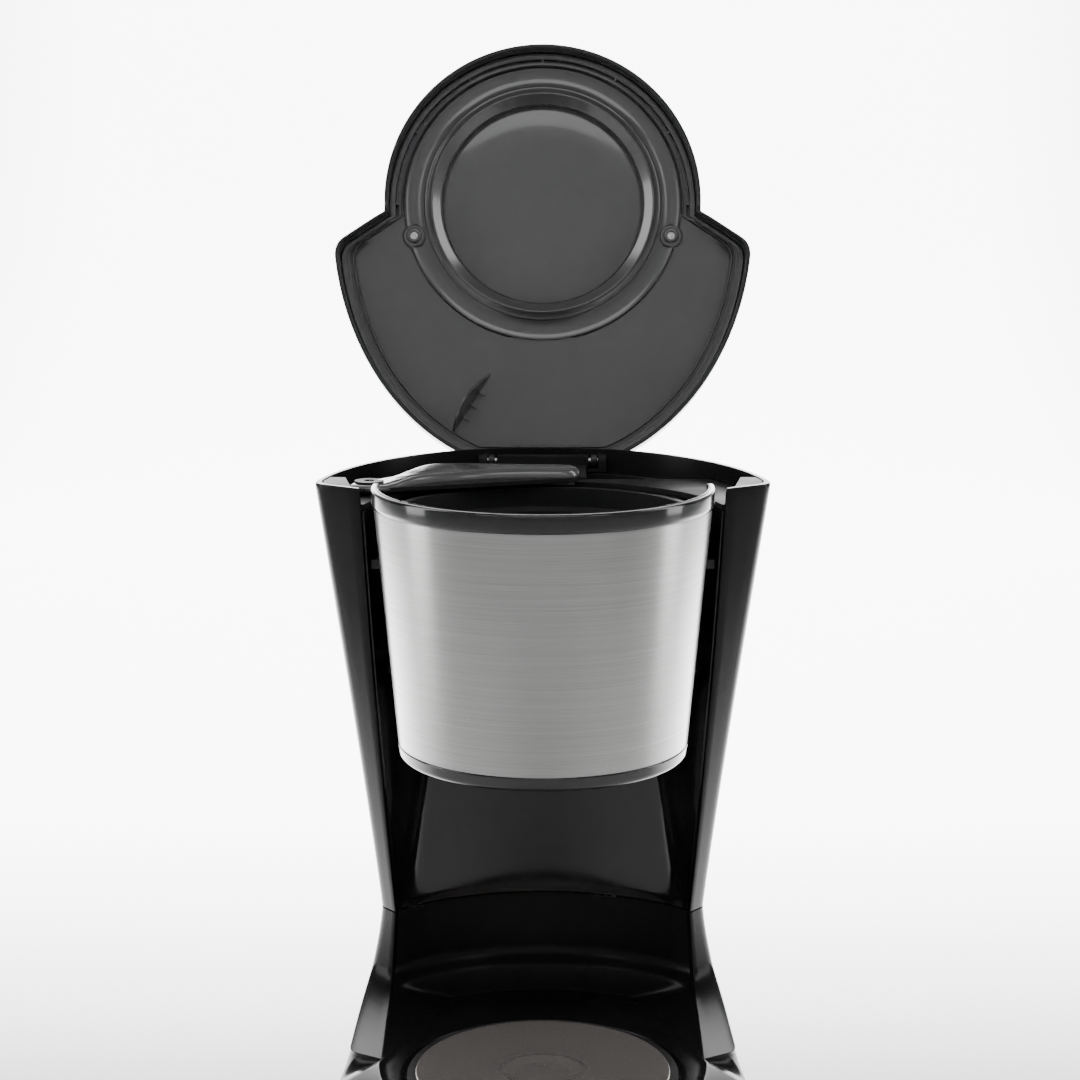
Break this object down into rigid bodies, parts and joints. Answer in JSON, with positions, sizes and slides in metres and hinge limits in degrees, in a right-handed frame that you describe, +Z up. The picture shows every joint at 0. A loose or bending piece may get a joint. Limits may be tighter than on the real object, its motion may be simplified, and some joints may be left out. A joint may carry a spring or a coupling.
{
  "type": "drip coffee maker",
  "caption": "Waisted black drip coffee maker with a brushed steel filter holder, rear water tank, swinging water arm, hot plate and an opened full-width lid.",
  "frame": {"origin": "on the table plane under the centre of the hot plate, which is also the axis of the filter holder", "axes": "+Z up; the front faces -Y; +X is the machine's left-right axis, to the right as seen from the front"},
  "size_m": [0.2, 0.3051, 0.4866],
  "materials": {
    "gloss_black": "high gloss",
    "satin_black": "satin",
    "lid_grey": "satin, finely grained",
    "tank_black": "smooth",
    "brushed_steel": "horizontally brushed",
    "plate_metal": "warm grey non-stick coat",
    "zinc": "zinc plated",
    "aluminium": "extruded",
    "silicone": "translucent white",
    "rubber_black": "matt",
    "valve_grey": "satin",
    "ceramic_white": "matt",
    "clear_window": "smoked clear plastic",
    "wire_sleeve": "glass-fibre sleeving",
    "amber_lens": "translucent amber"
  },
  "bodies": {
    "root": {"base_housing": "gloss_black", "base_cover": "satin_black", "rubber_feet": "rubber_black", "base_screws": "zinc", "hot_plate": "plate_metal", "plate_seal": "rubber_black", "heater_casting": "aluminium", "heater_terminals": "zinc", "heater_clamp": "zinc", "thermostat": "ceramic_white", "thermal_fuse": "ceramic_white", "cold_hose": "silicone", "hot_hose": "silicone", "riser_tube": "silicone", "hose_clips": "zinc", "check_valve": "valve_grey", "tank_strainer": "valve_grey", "water_tank": "tank_black", "tower_housing": "gloss_black", "bay_panel": "gloss_black", "column_caps": "satin_black", "top_deck": "satin_black", "bridge_cover": "satin_black", "level_window": "clear_window", "hinge_bracket": "satin_black", "hinge_pins": "zinc", "cord_gland": "satin_black", "switch_bezel": "gloss_black", "switch_module": "satin_black", "wire_harness": "wire_sleeve", "terminal_block": "ceramic_white", "arm_pivot_pin": "satin_black"},
    "lid": {"lid_shell": "gloss_black", "lid_liner": "lid_grey", "lid_fin": "lid_grey", "lid_screws": "zinc"},
    "arm": {"water_arm": "satin_black", "arm_duct": "satin_black"},
    "holder": {"steel_sleeve": "brushed_steel", "upper_band": "gloss_black", "lower_band": "gloss_black", "holder_shell": "satin_black", "filter_basket": "satin_black", "valve_seat": "satin_black", "valve_spring": "zinc"},
    "valve": {"valve_plunger": "valve_grey", "valve_seal": "rubber_black"},
    "rocker": {"rocker": "satin_black", "rocker_lens": "amber_lens"}
  },
  "joints": [
    {"name": "lid_hinge", "type": "hinge", "parent": "root", "child": "lid", "pos_m": [0, 0.127, 0.293], "axis": [1, 0, 0], "range_deg": [0, 105]},
    {"name": "arm_swing", "type": "hinge", "parent": "root", "child": "arm", "pos_m": [-0.076, 0.045, 0.2925], "axis": [0, 0, -1], "range_deg": [0, 50]},
    {"name": "holder_slide", "type": "slide", "parent": "root", "child": "holder", "axis": [0, -1, 0], "range_m": [0, 0.26]},
    {"name": "drip_stop", "type": "slide", "parent": "holder", "child": "valve", "axis": [0, 0, 1], "range_m": [0, 0.004], "stiffness_N_per_m": 200, "springref_m": -0.004, "deforming": ["valve_spring"]},
    {"name": "power_rocker", "type": "hinge", "parent": "root", "child": "rocker", "pos_m": [0, -0.09, 0.02], "axis": [1, 0, 0], "range_deg": [0, 14]}
  ],
  "couplings": [
    {"joint": "arm_swing", "follows": "lid_hinge", "ratio": 0.47619}
  ]
}
